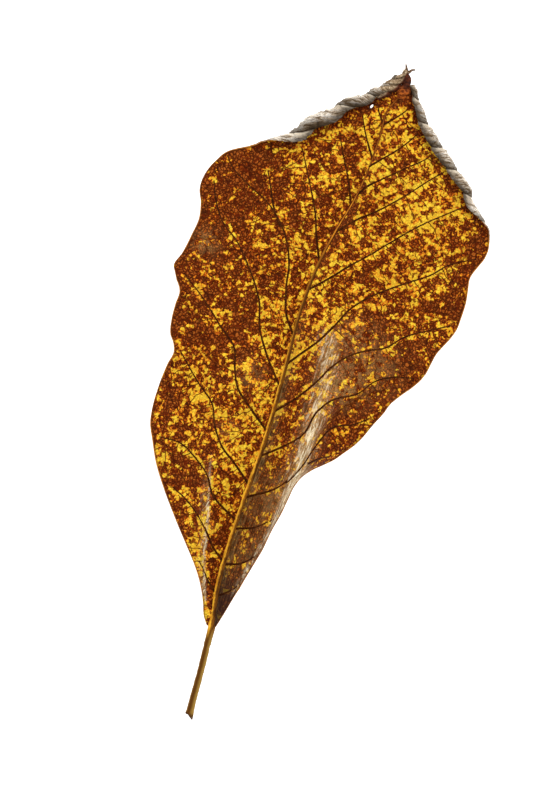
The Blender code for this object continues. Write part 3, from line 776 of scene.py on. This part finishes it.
class Graph:
    """Short ways to add shader nodes to one new material. Its colours are given as on a screen."""

    def __init__(self, name):
        self.material = bpy.data.materials.new(name)
        self.material.use_nodes = True
        self.tree = self.material.node_tree
        self.surface = self.tree.nodes["Principled BSDF"]

    def feed(self, node, inputs):
        """Sets or links the named inputs of a node."""
        for key, value in inputs.items():
            if isinstance(value, bpy.types.NodeSocket):
                self.tree.links.new(value, node.inputs[key])
            elif value is not None:
                socket = node.inputs[key]
                socket.default_value = linear(value) if socket.type == "RGBA" else value

    def node(self, kind, inputs, **settings):
        node = self.tree.nodes.new("ShaderNode" + kind)
        for key, value in settings.items():
            setattr(node, key, value)
        self.feed(node, inputs)
        return node

    def fact(self, name):
        return self.node("Attribute", {}, attribute_name=name).outputs["Fac"]

    def place(self):
        """The part's own coordinates in millimetres."""
        return self.vector("SCALE", self.node("TexCoord", {}).outputs["Object"], scale=1 / MM)

    def vector(self, operation, first, second=None, scale=None):
        inputs = {0: first, 1: second, "Scale": scale}
        return self.node("VectorMath", inputs, operation=operation).outputs["Vector"]

    def math(self, operation, first, second=0, third=None):
        return self.node("Math", {0: first, 1: second, 2: third}, operation=operation).outputs["Value"]

    def times(self, first, second):
        return self.math("MULTIPLY", first, second)

    def plus(self, base, value, factor):
        """base + value x factor."""
        return self.math("MULTIPLY_ADD", value, factor, base)

    def span(self, value, low, high, new_low=0, new_high=1):
        """value from low..high to new_low..new_high, smooth and clamped."""
        inputs = {"Value": value, "From Min": low, "From Max": high, "To Min": new_low, "To Max": new_high}
        return self.node("MapRange", inputs, interpolation_type="SMOOTHSTEP").outputs["Result"]

    def noise(self, vector, scale, detail, roughness=0.5, distortion=0, output="Fac"):
        inputs = {"Vector": vector, "Scale": scale, "Detail": detail, "Roughness": roughness}
        return self.node("TexNoise", {**inputs, "Distortion": distortion}).outputs[output]

    def cells(self, vector, size, feature="F1"):
        return self.node("TexVoronoi", {"Vector": vector, "Scale": 1 / size}, feature=feature).outputs

    def mix(self, share, first, second, blend="MIX"):
        inputs = {0: share, 6: first, 7: second}
        return self.node("Mix", inputs, data_type="RGBA", blend_type=blend).outputs[2]

    def ramp(self, value, stops):
        node = self.node("ValToRGB", {0: value})
        elements = node.color_ramp.elements
        while len(elements) < len(stops):
            elements.new(0.5)
        for element, (position, colour) in zip(elements, stops):
            element.position = position
            element.color = linear(colour)
        return node.outputs["Color"]

    def bump(self, height, strength, distance):
        inputs = {"Height": height, "Strength": strength, "Distance": distance * MM}
        return self.node("Bump", inputs).outputs["Normal"]

    def finish(self, colour, roughness, normal, glow=0, specular=0.1):
        """Joins colour, roughness and normal to the surface. glow is the share of light let through."""
        self.feed(self.surface, {"Base Color": colour, "Roughness": roughness, "Normal": normal,
                                 "Specular IOR Level": specular})
        if glow:
            through = self.node("BsdfTranslucent", {"Color": colour, "Normal": normal})
            both = self.node("MixShader", {0: glow, 1: self.surface.outputs[0], 2: through.outputs[0]})
            self.feed(self.tree.nodes["Material Output"], {"Surface": both.outputs[0]})
        return self.material


# Upper side of the blade. Patches run from plain brown to yellow.
PATCH_TONES = (
    (0.00, (182, 96, 34)), (0.20, (160, 76, 20)), (0.38, (140, 56, 10)), (0.47, (168, 74, 15)),
    (0.54, (200, 90, 19)), (0.61, (240, 140, 32)), (0.68, (255, 188, 46)), (0.95, (255, 213, 58)),
)
SLOW_TINT = (215, 180, 150)
MESH_MIDDLE = (180, 104, 36)
NET = (52, 12, 2)
DOT = (98, 30, 4)
SPOT = (48, 14, 6)
GRAIN = (60, 22, 4)
SHADED = ((52, 34, 14), (130, 106, 64))
# Painted shade at the right half's base, and the dark brown of the withered tip
BASE_SHADE_TIP_BROWN = (46, 26, 22)
# Painted sheen: pale reflected light on the blade, and the pale fibres within it
SHEEN_TONES = ((120, 84, 38), (190, 152, 94))
FIBRE = (232, 214, 184)
# Worn paleness of the folds' crests with a painted highlight
WORN_CREST_SHEEN = ((164, 132, 84), (252, 238, 204))
BITTEN = (44, 16, 6)
RIM = (74, 34, 8)
FRINGE = (206, 140, 62)
# Painted shadow of the rolled margin on the blade
ROLL_SHADOW = (52, 22, 8)

# Underside, plain and on the rolled margins, with painted highlights and painted shade on the rolls
BACK = ((122, 92, 66), (186, 150, 92))
BACK_NET = (88, 60, 38)
STRIPE_TONES = (
    (0.34, (66, 48, 32)), (0.44, (136, 116, 92)), (0.52, (206, 190, 168)), (0.60, (255, 248, 238)),
)
# Painted highlight on the roll's outer edge, and painted shade on its inner side
ROLL_EDGE_HIGHLIGHT = (250, 242, 228)
ROLL_INNER_SHADE = (62, 48, 34)
ROLL_CREASE = (58, 42, 28)
# Painted shade at the start of each twist, painted highlight at its end, painted shade in the seams
TWIST_START_SHADE = (66, 52, 36)
TWIST_END_HIGHLIGHT = (228, 214, 190)
SEAM_SHADE = (40, 26, 14)


def blade_graph():
    """The blade's material, with the patterns that several of its colours share."""
    g = Graph("blade")
    g.at = g.place()
    drift = g.noise(g.at, 0.9, 3, 0.6, output="Color")
    drift = g.vector("SCALE", g.vector("SUBTRACT", drift, (0.5, 0.5, 0.5)), scale=1.1)
    g.bent = g.vector("ADD", g.at, drift)
    g.edge = g.cells(g.bent, CELL, "DISTANCE_TO_EDGE")["Distance"]
    g.net = g.span(g.edge, 0.07, 0.24, 1, 0)
    cell = g.cells(g.bent, CELL)
    g.tone = g.node("SeparateColor", {0: cell["Color"]})
    g.level = patch_level(g, cell)
    g.brown = g.span(g.level, 0.61, 0.5)
    g.slow = g.noise(g.at, 0.11, 2)
    g.grain = g.noise(g.at, 4.5, 2, 0.6)
    stretched = g.vector("MULTIPLY", g.at, (1, 0.16, 1))
    g.wrinkle = g.noise(stretched, 2.1, 4, 0.7, 0.5)
    return g


def patch_level(g, cell):
    """From brown to yellow. Meshes of the net lean to the tone of their middle, so patches are ragged."""
    inputs = {0: 0.6, 4: g.bent, 5: cell["Position"]}
    ragged = g.node("Mix", inputs, data_type="VECTOR").outputs[1]
    level = g.plus(0.5, g.math("SUBTRACT", g.noise(ragged, 0.42, 4, 0.68, 0.3), 0.5), 3.4)
    level = g.plus(level, g.math("SUBTRACT", g.noise(ragged, 1.5, 2, 0.6), 0.5), 1.6)
    level = g.plus(level, g.math("SUBTRACT", g.tone.outputs[0], 0.5), 0.22)
    level = g.plus(level, g.math("SUBTRACT", g.fact("yellow"), 0.66), 0.55)
    beside_veins = g.span(g.fact("vein_gap"), 1.3, 0.4)
    beads = g.times(beside_veins, g.span(g.noise(g.at, 0.5, 1), 0.42, 0.6))
    return g.plus(level, beads, 0.33)


def add_detail(g, colour):
    """Slow shifts of tone, paler middles of the meshes, the dark net, dots, spots and grain."""
    tinted = g.mix(1, colour, SLOW_TINT, "MULTIPLY")
    colour = g.mix(g.span(g.slow, 0.35, 0.65, 0, 0.35), colour, tinted)
    middles = g.times(g.span(g.edge, 0.12, 0.32), g.times(g.brown, g.tone.outputs[1]))
    colour = g.mix(g.times(middles, 0.6), colour, MESH_MIDDLE)
    colour = g.mix(g.times(g.net, g.plus(0.3, g.brown, 0.6)), colour, NET)
    dots = g.span(g.noise(g.bent, 1.15, 1), 0.575, 0.63)
    colour = g.mix(g.times(dots, 0.85), colour, DOT)
    spots = g.times(g.span(g.noise(g.bent, 0.55, 1), 0.6, 0.7), g.brown)
    colour = g.mix(g.times(spots, 0.65), colour, SPOT)
    dark = g.times(g.span(g.grain, 0.3, 0.7, 0.5, 0), g.plus(0.3, g.brown, 0.7))
    return g.mix(dark, colour, GRAIN)


def add_shade(g, colour):
    """Painted shade beside the midrib and over the right half's lower part, darker still at its base, and
    the withered tip's own dark brown.
    """
    share = g.times(g.fact("shade"), g.span(g.level, 0.75, 0.5, 0.45, 0.85))
    colour = g.mix(share, colour, g.mix(g.span(g.wrinkle, 0.38, 0.62), *SHADED))
    # Painted shade over the right half's base; at the tip, the withered blade's own dark brown
    base_shade_tip_brown = g.times(g.fact("base_shade_tip_brown"), g.span(g.wrinkle, 0.35, 0.65, 1, 0.7))
    return g.mix(base_shade_tip_brown, colour, BASE_SHADE_TIP_BROWN)


def add_sheen(g, colour):
    """Painted sheen in patches and on the folds' flanks, pale fibres within it, and streaks on the crests
    that are worn paleness with a painted highlight on it.
    """
    painted_sheen = g.mix(g.span(g.grain, 0.3, 0.7), *SHEEN_TONES)
    # Painted sheen: pale patches of reflected light
    share = g.times(g.fact("painted_sheen"), g.span(g.noise(g.at, 0.6, 3, 0.6), 0.4, 0.58))
    colour = g.mix(g.times(share, g.plus(0.25, g.brown, 0.75)), colour, painted_sheen)
    fold_sheen, streak = g.fact("fold_sheen"), g.fact("streak")
    # Painted sheen on the flanks of the folds
    share = g.times(fold_sheen, g.span(g.wrinkle, 0.36, 0.56, 0.35, 0.75))
    colour = g.mix(g.times(share, g.plus(0.5, g.brown, 0.5)), colour, painted_sheen)
    fibres = g.times(g.span(g.wrinkle, 0.54, 0.62), g.math("MAXIMUM", fold_sheen, streak))
    colour = g.mix(g.times(fibres, 0.6), colour, FIBRE)
    # Worn paleness of the crests, with a painted highlight on it
    share = g.times(streak, g.span(g.wrinkle, 0.36, 0.58, 0.4, 1))
    crest_sheen = g.mix(g.span(g.wrinkle, 0.42, 0.62), *WORN_CREST_SHEEN)
    return g.mix(g.times(share, 0.95), colour, crest_sheen)


def add_margin(g, colour):
    """Dark border of the hole, dark rim with a paler fringe, and shade where the margin rolls over."""
    rim = g.fact("rim")
    colour = g.mix(g.times(g.fact("bitten"), 0.9), colour, BITTEN)
    colour = g.mix(g.span(rim, 0.7, 0.3, 0, 0.55), colour, RIM)
    fringe = g.times(g.span(rim, 0.26, 0.08), g.span(g.slow, 0.38, 0.55, 0.25, 0.9))
    colour = g.mix(fringe, colour, FRINGE)
    # Painted shadow of the rolled margin on the blade beside it
    return g.mix(g.times(g.fact("roll_shadow"), 0.7), colour, ROLL_SHADOW)


def rolled_back(g):
    """Colour of the underside on the rolled margins, and its stripes, with painted highlights on the roll's
    outer edge and at the end of each twist, and painted shade at the start of each twist, in the seams and
    on the roll's inner side.
    """
    roll, twist = g.fact("roll"), g.fact("twist")
    place = g.node("CombineXYZ", {0: g.times(twist, 6), 1: g.times(roll, 1.8)}).outputs[0]
    stripes = g.noise(place, 1.6, 4, 0.7, 0.9)
    colour = g.ramp(stripes, STRIPE_TONES)
    # Painted highlight along the roll's outer edge
    outer = g.span(g.plus(roll, stripes, -0.6), 0.42, 0.05, 0, 0.9)
    colour = g.mix(outer, colour, ROLL_EDGE_HIGHLIGHT)
    crease = g.math("SUBTRACT", g.noise(place, 3, 3, 0.6, 1.4), 0.5)
    crease = g.span(g.math("ABSOLUTE", crease), 0.035, 0.005)
    colour = g.mix(g.times(crease, 0.85), colour, ROLL_CREASE)
    within = g.math("FRACT", twist)
    # Painted shade at the start of each twist, and painted highlight at its end
    colour = g.mix(g.span(within, 0.5, 0.06, 0, 0.8), colour, TWIST_START_SHADE)
    colour = g.mix(g.span(within, 0.72, 0.93, 0, 0.65), colour, TWIST_END_HIGHLIGHT)
    # Painted shade in the seams between the twists
    seam = g.math("MAXIMUM", g.span(within, 0.06, 0), g.span(within, 0.94, 0.99))
    colour = g.mix(g.times(seam, 0.95), colour, SEAM_SHADE)
    # Painted shade on the roll's inner side
    inner = g.span(g.plus(roll, stripes, 0.8), 1.12, 1.34, 0, 0.85)
    return g.mix(inner, colour, ROLL_INNER_SHADE), stripes


def blade_material():
    g = blade_graph()
    colour = add_detail(g, g.ramp(g.level, PATCH_TONES))
    colour = add_margin(g, add_sheen(g, add_shade(g, colour)))
    rolled, stripes = rolled_back(g)
    back = g.mix(g.span(g.level, 0.3, 0.75), *BACK)
    back = g.mix(g.times(g.net, 0.4), back, BACK_NET)
    back = g.mix(g.span(g.fact("rolled"), 0.1, 0.6), back, rolled)
    colour = g.mix(g.fact("under"), colour, back)

    height = g.plus(g.times(g.grain, 0.05), g.span(g.edge, 0, 0.22), 0.06)
    height = g.plus(height, g.times(g.wrinkle, g.fact("streak")), 0.4)
    height = g.plus(height, g.times(stripes, g.fact("rolled")), 0.6)
    roughness = g.span(g.noise(g.at, 0.8, 3, 0.6), 0.3, 0.7, 0.5, 0.7)
    return g.finish(colour, roughness, g.bump(height, 0.8, 1), glow=0.12, specular=0.02)


# Midrib, from the base to the tip, and stalk. Of two tones, a light fibre has the second; the golden and
# olive tones are the midrib's left flank with painted light and its right flank with painted shade, and
# UPPER_RIB's two are the same flanks' painted light and painted shade.
LIT_GOLD = ((172, 108, 16), (236, 180, 50))
SHADED_OLIVE = ((60, 30, 4), (112, 66, 12))
UPPER_RIB = ((142, 90, 20), (80, 44, 8))
THIN_RIB = ((138, 74, 16), (196, 124, 30))
THIN_EDGE = (60, 22, 4)
RIB_END = (84, 32, 6)
STALK_TONES = ((82, 47, 6), (142, 110, 48))
STALK_FLANK = (132, 98, 38)
CUT_END = (66, 38, 12)


def rib_material():
    """Golden with painted light on the left flank and olive brown with painted shade on the right, thin and
    brown near the tip, brown as a stalk.
    """
    g = Graph("rib")
    place = g.place()
    length = g.fact("length")
    flank = g.fact("sideways")
    fibres = g.noise(g.vector("MULTIPLY", place, (1, 0.1, 1)), 3.2, 3, 0.6)
    light = g.span(fibres, 0.35, 0.65)
    border = g.plus(g.plus(flank, fibres, 0.5), g.noise(place, 1.3, 2, 0.6), 0.7)
    # Painted light on the left flank, painted shade on the right flank
    colour = g.mix(g.span(border, 0.1, 0.6), g.mix(light, *LIT_GOLD), g.mix(light, *SHADED_OLIVE))
    # Further up, too, the left flank has painted light and the right flank painted shade
    colour = g.mix(g.span(length, 52, 74), colour, g.mix(g.span(border, 0.2, 0.8), *UPPER_RIB))
    edges = g.span(g.math("ABSOLUTE", flank), 0.15, 0.6)
    colour = g.mix(g.span(length, 80, 94), colour, g.mix(edges, g.mix(light, *THIN_RIB), THIN_EDGE))
    colour = g.mix(g.span(length, 98, 108, 0, 0.65), colour, RIB_END)
    streaky = g.plus(flank, fibres, 0.6)
    stalk = g.mix(g.span(streaky, 0.1, 1), *STALK_TONES)
    stalk = g.mix(g.span(streaky, -0.3, -0.7), stalk, STALK_FLANK)
    colour = g.mix(g.span(length, 1.5, -2.5), colour, stalk)
    colour = g.mix(g.span(length, -18.6, -19.6), colour, CUT_END)
    return g.finish(colour, 0.55, g.bump(fibres, 0.5, 0.15), specular=0.05)


# Veins: dark and light specks above, and the lower side
SIDE_VEIN_TONES = ((42, 16, 4), (74, 36, 8), (150, 116, 78))
CROSS_VEIN_TONES = ((64, 24, 4), (106, 50, 10), (70, 34, 8))


def vein_material(name, tones):
    """A thin vein: dark above and paler on its lower side."""
    g = Graph(name)
    dark, light, below = tones
    speckle = g.noise(g.place(), 1.4, 3, 0.6)
    colour = g.mix(g.span(speckle, 0.4, 0.66), dark, light)
    colour = g.mix(g.span(g.fact("upwards"), 0, -0.4), colour, below)
    return g.finish(colour, 0.5, g.bump(speckle, 0.3, 0.05), specular=0.02)


# Tip
TIP_TONES = (
    (0.34, (70, 50, 34)), (0.48, (124, 102, 76)), (0.58, (168, 146, 116)), (0.70, (220, 204, 178)),
)
# Painted shade in the seams of the rope
TIP_SEAM_SHADE = (40, 26, 16)
TIP_BROWN = ((44, 16, 8), (92, 42, 18))
TIP_RUST = ((92, 38, 10), (176, 90, 28))


def tip_material():
    """Pale folds with painted shade in the seams of the rope, brown on its right flank and on the blade's
    own end.
    """
    g = Graph("tip")
    folds = g.noise(g.vector("MULTIPLY", g.place(), (0.5, 1, 1)), 2.2, 4, 0.65, 0.6)
    within = g.fact("within")
    # Painted shade in the seams of the rope
    seam = g.math("MAXIMUM", g.span(within, 0.4, 0), g.span(within, 0.86, 0.96))
    colour = g.mix(g.times(seam, 0.9), g.ramp(folds, TIP_TONES), TIP_SEAM_SHADE)
    rust = g.mix(g.span(folds, 0.4, 0.6), *TIP_RUST)
    brown = g.mix(g.fact("rust"), g.mix(g.span(folds, 0.4, 0.65), *TIP_BROWN), rust)
    flank = g.span(g.plus(g.fact("sideways"), folds, 0.6), 0.6, 1)
    colour = g.mix(g.math("MAXIMUM", flank, g.fact("brown")), colour, brown)
    return g.finish(colour, 0.6, g.bump(folds, 0.9, 0.3))


def floor_material():
    g = Graph("floor")
    looks = {
        "Base Color": (0.9, 0.9, 0.9, 1), "Roughness": 1, "Specular IOR Level": 0,
        "Emission Color": (1, 1, 1, 1), "Emission Strength": 0.75,
    }
    for key, value in looks.items():
        g.surface.inputs[key].default_value = value
    return g.material


# Light, floor and camera


def floor():
    """A wide square just below the leaf."""
    reach, drop = 4, -0.0002
    corners = [(-reach, -reach, drop), (reach, -reach, drop), (reach, reach, drop), (-reach, reach, drop)]
    mesh = bpy.data.meshes.new("floor")
    mesh.from_pydata(corners, [], [(0, 1, 2, 3)])
    mesh.materials.append(floor_material())
    plane = add_object("floor", mesh)


def picture_axes():
    """The picture's right and up in the leaf's own axes."""
    right = Vector((math.cos(LEAN), math.sin(LEAN), 0))
    up = Vector((-math.sin(LEAN), math.cos(LEAN), 0))
    return right, up


def soft_light(name, right_share, up_share, height, size, power, colour):
    """A square lamp above the leaf, placed in metres along the picture's axes, facing the leaf."""
    right, up = picture_axes()
    data = bpy.data.lights.new(name, "AREA")
    data.size = size
    data.energy = power
    data.color = colour
    lamp = add_object(name, data)
    lamp.location = right * right_share + up * up_share + Vector((0, 0, height))
    lamp.rotation_mode = "QUATERNION"
    lamp.rotation_quaternion = lamp.location.to_track_quat("Z", "Y")


def world_light(strength):
    world = bpy.data.worlds.new("studio")
    world.use_nodes = True
    back = world.node_tree.nodes["Background"]
    back.inputs["Color"].default_value = (1, 1, 1, 1)
    back.inputs["Strength"].default_value = strength
    bpy.context.scene.world = world


def camera():
    """Looks straight down on the leaf, turned so that the leaf leans as in the picture."""
    right, up = picture_axes()
    to_right = (PICTURE[0] / 2 - ORIGIN_PIXEL[0]) * MM_PER_PIXEL
    to_top = (ORIGIN_PIXEL[1] - PICTURE[1] / 2) * MM_PER_PIXEL
    aim = (right * to_right + up * to_top - Vector((*BOX_MIDDLE, 0))) * MM
    distance = PICTURE[1] * MM_PER_PIXEL * MM * LENS / SENSOR
    data = bpy.data.cameras.new("camera")
    data.lens = LENS
    data.sensor_width = SENSOR
    data.clip_end = 10
    eye = add_object("camera", data)
    turned = Matrix((right, up, Vector((0, 0, 1)))).transposed().to_4x4()
    eye.matrix_world = Matrix.Translation(aim + Vector((0, 0, distance + SCALE_HEIGHT * MM))) @ turned
    bpy.context.scene.camera = eye


def dress_leaf():
    halves = []
    trees = []
    for side, lines, margin in ((-1, LEFT_LINES, LEFT_MARGIN), (1, RIGHT_LINES, RIGHT_MARGIN)):
        sheet, facts = half_surface(side, lines, margin)
        halves.append((side, sheet, facts))
        laid = sheet[:, :COLUMNS + 1]
        quads = grid_faces(laid.shape[0], laid.shape[1], 0, False)
        trees.append(BVHTree.FromPolygons(laid.reshape(-1, 3).tolist(), quads))
    blade(halves, blade_material())
    midrib_and_stalk(rib_material())
    side_veins(trees, vein_material("vein", SIDE_VEIN_TONES))
    cross_veins(trees, vein_material("fine_vein", CROSS_VEIN_TONES))
    shrivelled_tip(tip_material())


dress_leaf()
floor()
soft_light("key", 0.7, 0.9, 1.6, 1.6, 32, (1, 0.965, 0.93))
soft_light("fill", -1.2, 0.1, 1.3, 1.6, 11, (1, 0.98, 0.96))
world_light(0.7)
camera()
bpy.context.scene.view_settings.view_transform = "Standard"
